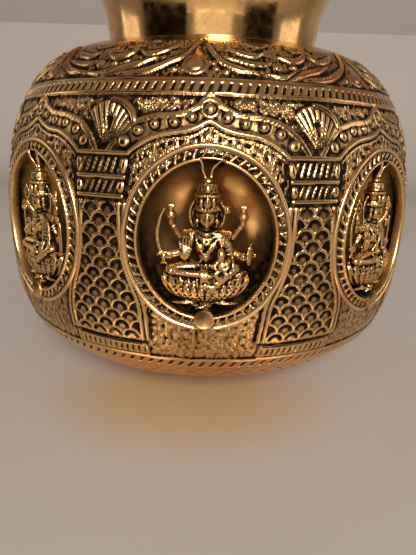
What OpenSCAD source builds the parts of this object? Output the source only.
// Brass kalash pot: a beaten and chased body with oval niches, each holding a cast seated
// figure on a lotus, under a plain flared neck. Axis along +Z, origin at the centre of the base.

/* [Body] */
// Widest diameter of the body
belly_d = 140; // [130:1:180]
// Height of the widest ring above the base
belly_z = 57; // [52:1:60]
// Height of the shoulder seam, where the neck is joined
seam_z = 106; // [104:1:116]
// Diameter of the flat base
base_d = 52; // [40:1:60]
// Thickness of the beaten sheet
sheet_t = 1.2; // [0.8:0.1:1.6]
// Rise of the dished middle of the base
base_dish = 1.5; // [0.8:0.1:2.5]

/* [Neck] */
// Outside diameter of the neck at the seam
neck_d = 70; // [62:1:78]
// Height of the neck from the seam to the top of the lip
neck_h = 35; // [25:1:50]
// Outside diameter of the flared mouth
mouth_d = 97; // [84:1:108]
// Wall of the neck
neck_t = 1.2; // [0.8:0.1:1.6]
// Diameter of the rolled lip
lip_d = 3.4; // [2.4:0.2:4.6]

/* [Niches] */
// Number of niches around the body
niche_count = 8; // [6:1:8]
// Width of a niche window
niche_w = 33.8; // [31:0.2:34.4]
// Height of a niche window
niche_h = 38.4; // [37:0.2:39.6]
// Height of the niche centre above the base
niche_z = 55.5; // [54.5:0.5:56.5]
// Depth of the dished back below the belly
niche_depth = 13; // [12:0.5:14]
// Radius of the dished back
dish_r = 24; // [23:0.5:27]
// Sheet of the niche cup
cup_t = 0.8; // [0.5:0.1:1]
// Width of the soldering flange around a cup
flange_w = 1.6; // [1:0.2:2]
// Width of the raised frame around a window
frame_w = 3.4; // [2.4:0.2:3.6]

/* [Chased relief] */
// Height of the relief above the ground
relief_h = 0.6; // [0.4:0.1:1]
// Bottom of the upper rope band
rope_top_z = 89.7; // [89:0.1:91]
// Bottom of the lower rope band
rope_low_z = 18.3; // [17:0.1:19]
// Width of a rope band
rope_w = 2.8; // [2:0.2:3.2]
// Width of the arch over a niche
arch_w = 3.6; // [2.6:0.2:4]
// Width of a pilaster's plinth
plinth_w = 24; // [20:0.5:25]
// Height of a plinth
plinth_h = 4.4; // [3:0.2:5]
// Width of the belt of leaves on the shoulder, seen from above
leaf_belt = 12.5; // [10:0.5:14]

/* [Figures] */
// Height of a figure from the foot of its lotus to the top of its crown
figure_h = 28.8; // [27:0.2:29.4]
// Distance of the figures' middle plane inside the belly
figure_in = 3.6; // [3.2:0.1:3.9]
// Diameter of the stud under a lotus
stud_d = 5.2; // [4.4:0.2:5.6]
// Length of the stem between stud and lotus
stem_h = 3.8; // [3.2:0.1:4.2]

/* [Hidden] */
$fn = 64;
gap = 0.1;
belly_r = belly_d / 2;
base_r = base_d / 2;
neck_r = neck_d / 2;
mouth_r = mouth_d / 2;
lip_r = lip_d / 2;
stud_r = stud_d / 2;
bay = 360 / niche_count;
dish_share = 0.75;
curve_steps = 8;
flare_steps = 12;
oval_sides = 40;
layer_in = 0.4;
prism_in = belly_r * 0.5;
prism_len = belly_r * 0.7;
frame_top_z = niche_z + niche_h / 2 + frame_w;
capital_top_z = niche_z + niche_h / 2 + 1.2;
capital_h = 11.6;
bar_h = 1.1;
plinth_top_z = rope_low_z + rope_w + plinth_h;
stud_z = niche_z - niche_h / 2 - 0.6;
lotus_z = stud_z + stud_r + gap + stem_h;
crown_z = lotus_z + figure_h;
figure_y = belly_r - figure_in;
leaf_steps = 5;
// The height at which the figure's own measures below are stated.
model_h = 28.8;
figure_scale = figure_h / model_h;
bead_sides = 5;

// What the figures hold: upper left, upper right, middle left, middle right, on the lap.
ATTRIBUTES = [
    ["pot", "pot", "sword", "shield", "child"],
    ["discus", "conch", "sword", "flag", "palm"],
    ["lotus", "conch", "bow", "pot", "palm"],
    ["lotus", "lotus", "none", "none", "palm"],
    ["lotus", "flag", "none", "none", "palm"],
    ["lotus", "lotus", "mace", "sheaf", "palm"],
    ["discus", "conch", "bow", "pot", "palm"],
    ["discus", "conch", "trident", "bow", "palm"]
];

// ---- Outlines ----

// A point at share t of the cubic curve with the control points p.
function bezier(p, t) =
    pow(1 - t, 3) * p[0] + 3 * pow(1 - t, 2) * t * p[1]
    + 3 * (1 - t) * t * t * p[2] + pow(t, 3) * p[3];

// Its direction there, as a unit vector.
function heading(p, t) =
    let (d = pow(1 - t, 2) * (p[1] - p[0]) + 2 * (1 - t) * t * (p[2] - p[1]) + t * t * (p[3] - p[2]))
    d / norm(d);

// The curve as points, moved to its right by off.
function beside(p, off, n) =
    [for (i = [0:n]) let (t = i / n, d = heading(p, t)) bezier(p, t) + off * [d[1], -d[0]]];

function reversed(list) = [for (i = [len(list) - 1:-1:0]) list[i]];

// Half outline of the bowl below the belly, and of the shoulder above it.
bowl = [[base_r, 0], [base_r + 0.93 * (belly_r - base_r), 0.228 * belly_z],
        [belly_r, 0.326 * belly_z], [belly_r, belly_z]];
shoulder = [[belly_r, belly_z], [belly_r, belly_z + 0.49 * (seam_z - belly_z)],
            [neck_r + 0.7 * (belly_r - neck_r), seam_z + 3], [neck_r, seam_z]];

// Half outline of the body from base to seam, moved outwards by off.
function outline(off) = concat(
    beside(bowl, off, curve_steps),
    [for (i = [1:curve_steps]) beside(shoulder, off, curve_steps)[i]]);

// Radius of the body at height z.
function radius_at(z) = lookup(z, [for (p = outline(0)) [p[1], p[0]]]);

// Half outline of the neck from seam to lip, moved inwards by off: it flares as a parabola.
function flare(off) = [for (i = [0:flare_steps]) let (t = i / flare_steps)
    [neck_r + (mouth_r - neck_r) * t * t - off, seam_z + (neck_h - lip_r) * t]];

function oval(w, h) = [for (i = [0:oval_sides - 1]) let (a = 360 * i / oval_sides)
    [w / 2 * cos(a), h / 2 * sin(a)]];

// Half width of the framed window at height z, and 0 above and below it.
function frame_reach(z) =
    let (u = (z - niche_z) / (niche_h / 2 + frame_w))
    (niche_w / 2 + frame_w) * sqrt(max(0, 1 - u * u));

// ---- Shared shapes ----

// Body of revolution inside the outline moved by off, from z_low to z_high.
module turned(off, z_low, z_high) {
    top = outline(off)[2 * curve_steps];
    intersection() {
        rotate_extrude()
            polygon(concat([[0, -9], [base_r + off, -9]], outline(off),
                [[neck_r - sheet_t, top[1]], [neck_r - sheet_t, seam_z + 9], [0, seam_z + 9]]));
        translate([0, 0, z_low]) cylinder(h = z_high - z_low, r = belly_r * 1.2);
    }
}

// Its children, turned from the front to the bay with index k.
module in_bay(k) {
    rotate([0, 0, bay * k]) children();
}

// A flat shape in the x-z plane, run outwards through the front of the body.
module outwards() {
    translate([0, -prism_in, 0]) rotate([90, 0, 0]) linear_extrude(height = prism_len) children();
}

// ---- Body ----

// Sphere that dishes the base, grown by extra.
module base_dish_ball(extra) {
    reach = base_r * dish_share;
    ball_r = (reach * reach + base_dish * base_dish) / (2 * base_dish);
    translate([0, 0, base_dish - ball_r]) sphere(r = ball_r + extra, $fn = 180);
}

module bare_shell() {
    difference() {
        turned(0, 0, seam_z);
        base_dish_ball(0);
        difference() {
            turned(-sheet_t, sheet_t, seam_z + 2);
            base_dish_ball(sheet_t);
        }
    }
}

module window_shape() {
    translate([0, niche_z]) polygon(oval(niche_w, niche_h));
}

module frame_shape() {
    translate([0, niche_z]) polygon(oval(niche_w + 2 * frame_w, niche_h + 2 * frame_w));
}

// Ogee arch over a niche: it falls from a point under the rope band to the capitals.
module arch_shape() {
    foot_x = belly_r * 0.311;
    run = [[0, rope_top_z - 2.2], [foot_x * 0.18, rope_top_z - 9.2],
           [foot_x * 0.9, capital_top_z + 9.5], [foot_x, capital_top_z]];
    steps = 6;
    over = beside(run, -arch_w / 2, steps);
    under = beside(run, arch_w / 2, steps);
    flip = [[-1, 0], [0, 1]];
    point = [0, rope_top_z + 0.5];
    notch = [0, rope_top_z - 2.2 - arch_w * 0.8];
    right = [for (i = [1:steps]) over[i]];
    right_in = [for (i = [1:steps]) under[i]];
    polygon(concat([point], right, reversed(right_in), [notch],
        [for (p = right_in) p * flip], [for (p = reversed(right)) p * flip]));
}

// The two raised borders of the pilaster between two niches: they follow the niches' frames.
module pilaster_shape() {
    z_top = capital_top_z - capital_h;
    steps = 6;
    border = 1.3;
    half = [for (i = [0:steps])
        let (z = z_top + (plinth_top_z - z_top) * i / steps,
             room = bay / 2 - asin(frame_reach(z) / belly_r) - 0.7)
        [min(plinth_w / 2, belly_r * sin(room)), z]];
    for (s = [-1, 1])
        polygon(concat([for (p = half) [s * p[0], p[1]]],
                       reversed([for (p = half) [s * (p[0] - border), p[1]]])));
}

// Capital: two broad mouldings between three narrow bars.
module capital_shape() {
    wide = belly_r * sin(bay / 2) * 0.28;
    step = (capital_h - bar_h) / 2;
    for (i = [0:2])
        translate([-wide, capital_top_z - bar_h - i * step]) square([2 * wide, bar_h]);
    for (i = [0:1])
        translate([-wide * 0.94, capital_top_z - 0.9 - (i + 1) * step + bar_h])
            square([1.88 * wide, step - 2 * bar_h + 0.4]);
}

// Fan of seven lobes that stands on the capital.
module fan_shape() {
    reach = rope_top_z - capital_top_z - 0.8;
    lobes = 7;
    spread = 46;
    tips = [for (i = [0:2 * lobes])
        let (a = spread * (i / lobes - 1), l = reach * (cos(a * 0.8) - 0.1 * (1 - i % 2)))
        [l * sin(a), capital_top_z + l * cos(a)]];
    polygon(concat([[-1, capital_top_z - 0.3]], tips, [[1, capital_top_z - 0.3]]));
}

module plinth_shape() {
    translate([-plinth_w / 2, plinth_top_z - plinth_h])
        square([plinth_w, plinth_h - 0.6]);
}

// Leaves of one bay of the shoulder. Three points along the middle of each: the share of a bay from its
// middle, and the share of the belt inwards from the rope band. Then its width, and where it is widest.
LEAVES = [
    [[-0.083, 0.88], [-0.087, 0.45], [-0.09, 0.01], 6.4, 1.9],
    [[-0.055, 0.85], [-0.24, 0.12], [-0.58, 0.1], 2.2, 1.1],
    [[-0.04, 0.8], [0.06, 0.16], [0.26, 0.12], 2.4, 1.1],
    [[0.08, 0.6], [0.19, 0.38], [0.31, 0.52], 2.6, 1],
    [[-0.18, 0.66], [-0.31, 0.38], [-0.43, 0.54], 2.4, 1],
    [[0.06, 0.37], [0.2, 0.2], [0.37, 0.35], 2, 1],
    [[0.28, 0.1], [0.42, 0.02], [0.55, 0.3], 2.6, 1],
    [[0.37, 0.44], [0.46, 0.3], [0.57, 0.64], 2.6, 1],
    [[-0.61, 0.03], [-0.44, 0.2], [-0.3, 0.34], 2.2, 1]
];

// A point of the shoulder in plan, from its share of a bay and of the belt.
function on_belt(q) =
    let (r = radius_at(rope_top_z + rope_w) - q[1] * leaf_belt)
    r * [sin(bay * q[0]), -cos(bay * q[0])];

// The point at share t of the curve through a leaf's three points.
function leaf_line(leaf, t) =
    on_belt(pow(1 - t, 2) * leaf[0] + 2 * (1 - t) * t * leaf[1] + t * t * leaf[2]);

// A leaf in plan: its line with a width that swells and closes.
module leaf_shape(leaf) {
    rim = [for (s = [-1, 1]) [for (i = [0:leaf_steps])
        let (t = i / leaf_steps,
             d = leaf_line(leaf, t + 0.01) - leaf_line(leaf, t - 0.01),
             half = leaf[3] / 2 * sin(180 * pow(t, leaf[4])))
        leaf_line(leaf, t) + s * half / norm(d) * [d[1], -d[0]]]];
    polygon(concat(rim[0], [for (i = [leaf_steps - 1:-1:1]) rim[1][i]]));
}

// The chased forms as one layer over the sheet.
module relief() {
    intersection() {
        difference() {
            turned(relief_h, rope_low_z, seam_z + 3);
            turned(-layer_in, rope_low_z - 2, seam_z + 6);
        }
        union() {
            translate([0, 0, rope_top_z]) cylinder(h = rope_w, r = belly_r * 1.1);
            translate([0, 0, rope_low_z]) cylinder(h = rope_w, r = belly_r * 1.1);
            for (k = [0:niche_count - 1]) in_bay(k) {
                outwards() frame_shape();
                outwards() arch_shape();
                rotate([0, 0, bay / 2]) {
                    outwards() pilaster_shape();
                    outwards() capital_shape();
                    outwards() fan_shape();
                    outwards() plinth_shape();
                }
                translate([0, 0, rope_top_z + rope_w]) linear_extrude(height = seam_z)
                    for (leaf = LEAVES) leaf_shape(leaf);
            }
        }
    }
}

// Two corners of the sheet at the top of a window, bent down to hold the crown.
module crown_tabs() {
    z_edge = niche_z + niche_h / 2;
    rho = radius_at(z_edge) - sheet_t;
    tip_z = crown_z + 0.2;
    for (s = [-1, 1])
        translate([0, -rho, 0]) rotate([90, 0, 0]) linear_extrude(height = sheet_t)
            polygon([[s * 0.5, z_edge + 0.6], [s * 4.6, z_edge + 0.2],
                     [s * 1.7, tip_z + 0.6], [s * 0.7, tip_z]]);
}

module body_shell() {
    color([0.72, 0.55, 0.28]) {
        difference() {
            union() {
                bare_shell();
                relief();
            }
            for (k = [0:niche_count - 1]) in_bay(k) {
                outwards() window_shape();
                translate([0, -prism_in, stud_z]) rotate([90, 0, 0])
                    cylinder(h = prism_len, r = stud_r + gap);
            }
        }
        for (k = [0:niche_count - 1]) in_bay(k) crown_tabs();
    }
}

// ---- Neck ----

module neck() {
    color([0.80, 0.64, 0.32]) {
        rotate_extrude() polygon(concat(flare(0), reversed(flare(neck_t))));
        translate([0, 0, seam_z + neck_h - lip_r]) rotate_extrude()
            translate([mouth_r - neck_t / 2, 0]) circle(r = lip_r);
    }
}

// ---- Niches ----

// Dished cup soldered behind window k: its flange follows the inside of the sheet.
module niche_cup(k) {
    ball_y = belly_r - niche_depth + dish_r;
    color([0.70, 0.48, 0.22]) in_bay(k) difference() {
        intersection() {
            turned(-sheet_t - gap, sheet_t, seam_z);
            outwards() translate([0, niche_z])
                polygon(oval(niche_w + 2 * cup_t + 2 * flange_w, niche_h + 2 * cup_t + 2 * flange_w));
            union() {
                translate([0, -ball_y, niche_z]) sphere(r = dish_r + cup_t, $fn = 96);
                difference() {
                    cylinder(h = seam_z, r = belly_r);
                    turned(-sheet_t - gap - cup_t, 0, seam_z);
                }
            }
            union() {
                outwards() translate([0, niche_z])
                    polygon(oval(niche_w + 2 * cup_t, niche_h + 2 * cup_t));
                difference() {
                    cylinder(h = seam_z, r = belly_r);
                    turned(-sheet_t - gap - cup_t, 0, seam_z);
                }
            }
        }
        intersection() {
            outwards() window_shape();
            translate([0, -ball_y, niche_z]) sphere(r = dish_r, $fn = 96);
        }
    }
}

// Stud k, let into the lower edge of its window: it carries the stem of the lotus.
module stud(k) {
    back = radius_at(stud_z + 0.8) - sheet_t;
    length = sheet_t + relief_h + 0.5;
    color([0.78, 0.60, 0.30]) in_bay(k)
        translate([0, -back, stud_z]) rotate([90, 0, 0]) difference() {
            cylinder(h = length, r = stud_r);
            translate([0, 0, length - 0.4]) cylinder(h = 1, r = stud_r - 0.6);
        }
}

// ---- Figures: measured from the foot of the lotus, front towards -Y ----

module bead(p, r) {
    translate(p) sphere(r = r, $fn = bead_sides);
}

// A rounded limb from p to q that tapers from radius r to radius s.
module limb(p, q, r, s) {
    hull() {
        bead(p, r);
        bead(q, s);
    }
}

// Boat-shaped lotus seat with upturned tips, its rounded front fluted into petals.
module lotus() {
    tip = [10.8, 6.2];
    side = beside([tip, [9.6, 2.4], [8.2, 0.4], [4.6, 0]], 0, 4);
    seat = [[7.4, 7.2], [0, 7.9], [-7.4, 7.2]];
    petals = 7;
    spread = 50;
    round_r = 12.8;
    flutes = [for (i = [0:4 * petals])
        let (a = spread * (i / (2 * petals) - 1), l = round_r - 0.9 * pow(cos(45 * i), 2))
        [l * sin(a), -l * cos(a)]];
    intersection() {
        translate([0, 2.4, 0]) rotate([90, 0, 0]) linear_extrude(height = 7)
            polygon(concat(reversed([for (p = side) [-p[0], p[1]]]), reversed(seat), side));
        translate([0, 9.6, -1]) linear_extrude(height = 12) polygon(concat([[-11, 0]], flutes, [[11, 0]]));
    }
}

// Stem that stands on the stud, with two leaves.
module stem() {
    long = stem_h / figure_scale;
    translate([0, -1.5, -long]) cylinder(h = long + 1, r = 1.3, $fn = 10);
    for (s = [-1, 1])
        limb([s * 3, -0.6, 0.8], [s * 8.6, -1.4, -1.2], 0.9, 0.4);
}

module head() {
    hull() {
        translate([0, -0.4, 20.8]) sphere(r = 2.4, $fn = 8);
        bead([0, -1, 18.6], 1);
    }
    limb([0, 0, 16], [0, 0, 18.6], 1.3, 1.2);
}

// Tall crown in three tiers, with a ring behind the head.
module crown() {
    translate([0, -0.2, 21.6]) cylinder(h = 2.6, r1 = 2.5, r2 = 2.9, $fn = 8);
    translate([0, -0.2, 24.1]) cylinder(h = 2.2, r1 = 2.6, r2 = 2.1, $fn = 8);
    translate([0, -0.2, 26.2]) cylinder(h = model_h - 26.2, r1 = 2, r2 = 0.5, $fn = 8);
    translate([0, 1.2, 20.8]) rotate([90, 0, 0]) cylinder(h = 0.8, r = 4.6, $fn = 16);
}

module torso() {
    hull() {
        translate([0, 0, 15.8]) scale([1, 0.6, 0.5]) sphere(r = 4.2, $fn = 8);
        translate([0, -0.4, 13.6]) scale([1, 0.9, 0.7]) sphere(r = 2.8, $fn = 8);
        bead([0, 0, 11], 2.2);
    }
    hull() {
        bead([0, 0, 11], 2.2);
        translate([0, 0, 8.4]) scale([1.3, 0.9, 0.6]) sphere(r = 3.2, $fn = 8);
    }
}

module legs() {
    limb([-1.5, 0, 8.2], [-7.6, -1, 6.8], 1.9, 1.6);
    limb([-7.6, -1.6, 6.4], [-1, -2.8, 6.4], 1.5, 1.1);
    limb([1.5, 0, 8.2], [6.9, -1.4, 9], 1.9, 1.7);
    limb([6.9, -1.6, 9], [2.4, -3, 4.6], 1.5, 1);
    limb([2.4, -3, 4.6], [1.2, -3.8, 3.4], 0.9, 0.7);
}

module arm(elbow, hand) {
    limb([4, 0.3, 16.2], elbow, 1.2, 0.9);
    limb(elbow, hand, 0.9, 0.9);
}

// An open palm, fingers up.
module palm() {
    hull() {
        translate([-1.3, -1.2, 0.2]) cube([2.6, 0.9, 2.2]);
        translate([-1, -1, 3.6]) cube([2, 0.6, 0.8]);
    }
}

// What a hand holds, drawn from the hand's centre.
module held(kind) {
    if (kind == "pot") {
        bead([0, 0, 1.8], 1.6);
        translate([0, 0, 2.8]) cylinder(h = 2.4, r1 = 1.4, r2 = 0.4, $fn = 6);
    }
    if (kind == "lotus") {
        limb([0, 0, 0], [0, 0, 2.6], 0.5, 0.4);
        hull() {
            bead([0, 0, 3.6], 1.4);
            bead([0, 0, 5.4], 0.3);
        }
    }
    if (kind == "discus") {
        translate([0, 0.5, 2.5]) rotate([90, 0, 0]) cylinder(h = 1, r = 2, $fn = 12);
        translate([0, 0.9, 2.5]) rotate([90, 0, 0]) cylinder(h = 1.8, r = 0.6, $fn = 6);
    }
    if (kind == "conch") hull() {
        bead([0, 0, 1], 0.5);
        bead([0, 0, 2.6], 1.5);
        bead([0, 0, 4.8], 0.3);
    }
    if (kind == "sword") {
        limb([-0.2, 0, -0.8], [1.2, 0, 5.6], 0.5, 0.5);
        limb([1.2, 0, 5.6], [-0.8, 0, 10.4], 0.5, 0.3);
    }
    if (kind == "shield") {
        translate([0.2, 0, 1.6]) rotate([0, 90, -14]) cylinder(h = 1, r = 2.8, $fn = 12);
        translate([0.6, 0, 1.6]) rotate([0, 90, -14]) cylinder(h = 1.2, r = 0.9, $fn = 6);
    }
    if (kind == "flag") {
        limb([0, 0, -3.6], [0, 0, 9.4], 0.4, 0.4);
        translate([-2.6, -0.4, 6]) cube([2.8, 0.8, 2.6]);
    }
    if (kind == "trident") {
        limb([0, 0, -4.6], [0, 0, 10.6], 0.4, 0.3);
        limb([-1.4, 0, 7.2], [1.4, 0, 7.2], 0.4, 0.4);
        for (s = [-1, 1])
            limb([s * 1.4, 0, 7.2], [s * 1.5, 0, 10], 0.4, 0.3);
    }
    if (kind == "mace") {
        limb([0, 0, -1.6], [0, 0, 5], 0.5, 0.5);
        bead([0, 0, 5.8], 1.6);
    }
    if (kind == "sheaf") {
        limb([0, 0, -2.4], [0, 0, 4], 0.5, 0.5);
        translate([0, 0, 3.6]) cylinder(h = 3.2, r1 = 0.6, r2 = 1.5, $fn = 6);
    }
    if (kind == "bow") {
        limb([-1.2, 0, 5.8], [0.4, 0, 3], 0.4, 0.5);
        limb([0.4, 0, 3], [0.4, 0, -2.4], 0.5, 0.5);
        limb([0.4, 0, -2.4], [-1.2, 0, -4.6], 0.5, 0.4);
    }
}

// An arm on side s, -1 for the left, with what it holds.
module holding_arm(s, elbow, hand, kind) {
    if (kind != "none") mirror([s < 0 ? 1 : 0, 0, 0]) {
        arm(elbow, hand);
        translate(hand) held(kind);
    }
}

// Small child that sits on the right knee.
module child() {
    bead([4.2, -2.8, 13.2], 1.7);
    limb([4.6, -2.4, 11], [5, -2.4, 8.8], 1.5, 1.9);
    limb([4.6, -3.2, 8.2], [2.8, -3.8, 6.6], 0.8, 0.6);
}

// The two front hands: the left one raised and open, the right one round the child or lowered.
module front_hands(kind) {
    raised = [5.2, -1.9, 11.4];
    lowered = [4.6, -2.4, 9.6];
    mirror([1, 0, 0]) {
        arm([5.2, -0.6, 10.8], raised);
        translate(raised) palm();
    }
    arm([5.6, -0.4, 11.4], lowered);
    if (kind == "child")
        child();
    else
        translate(lowered) rotate([180, 0, 180]) palm();
}

module figure(k) {
    hold = ATTRIBUTES[k];
    upper_elbow = [6.6, 1, 15.2];
    upper_hand = [8.7, -0.2, 19.4];
    middle_elbow = [6.9, 0.6, 11.6];
    middle_hand = [10.6, -0.6, 11.4];
    color([0.76, 0.56, 0.27]) in_bay(k)
        translate([0, -figure_y, lotus_z]) scale(figure_scale) {
            lotus();
            stem();
            legs();
            torso();
            head();
            crown();
            front_hands(hold[4]);
            holding_arm(-1, upper_elbow, upper_hand, hold[0]);
            holding_arm(1, upper_elbow, upper_hand, hold[1]);
            holding_arm(-1, middle_elbow, middle_hand, hold[2]);
            holding_arm(1, middle_elbow, middle_hand, hold[3]);
        }
}

body_shell();
neck();
for (k = [0:7]) {
    niche_cup(k);
    figure(k);
    stud(k);
}
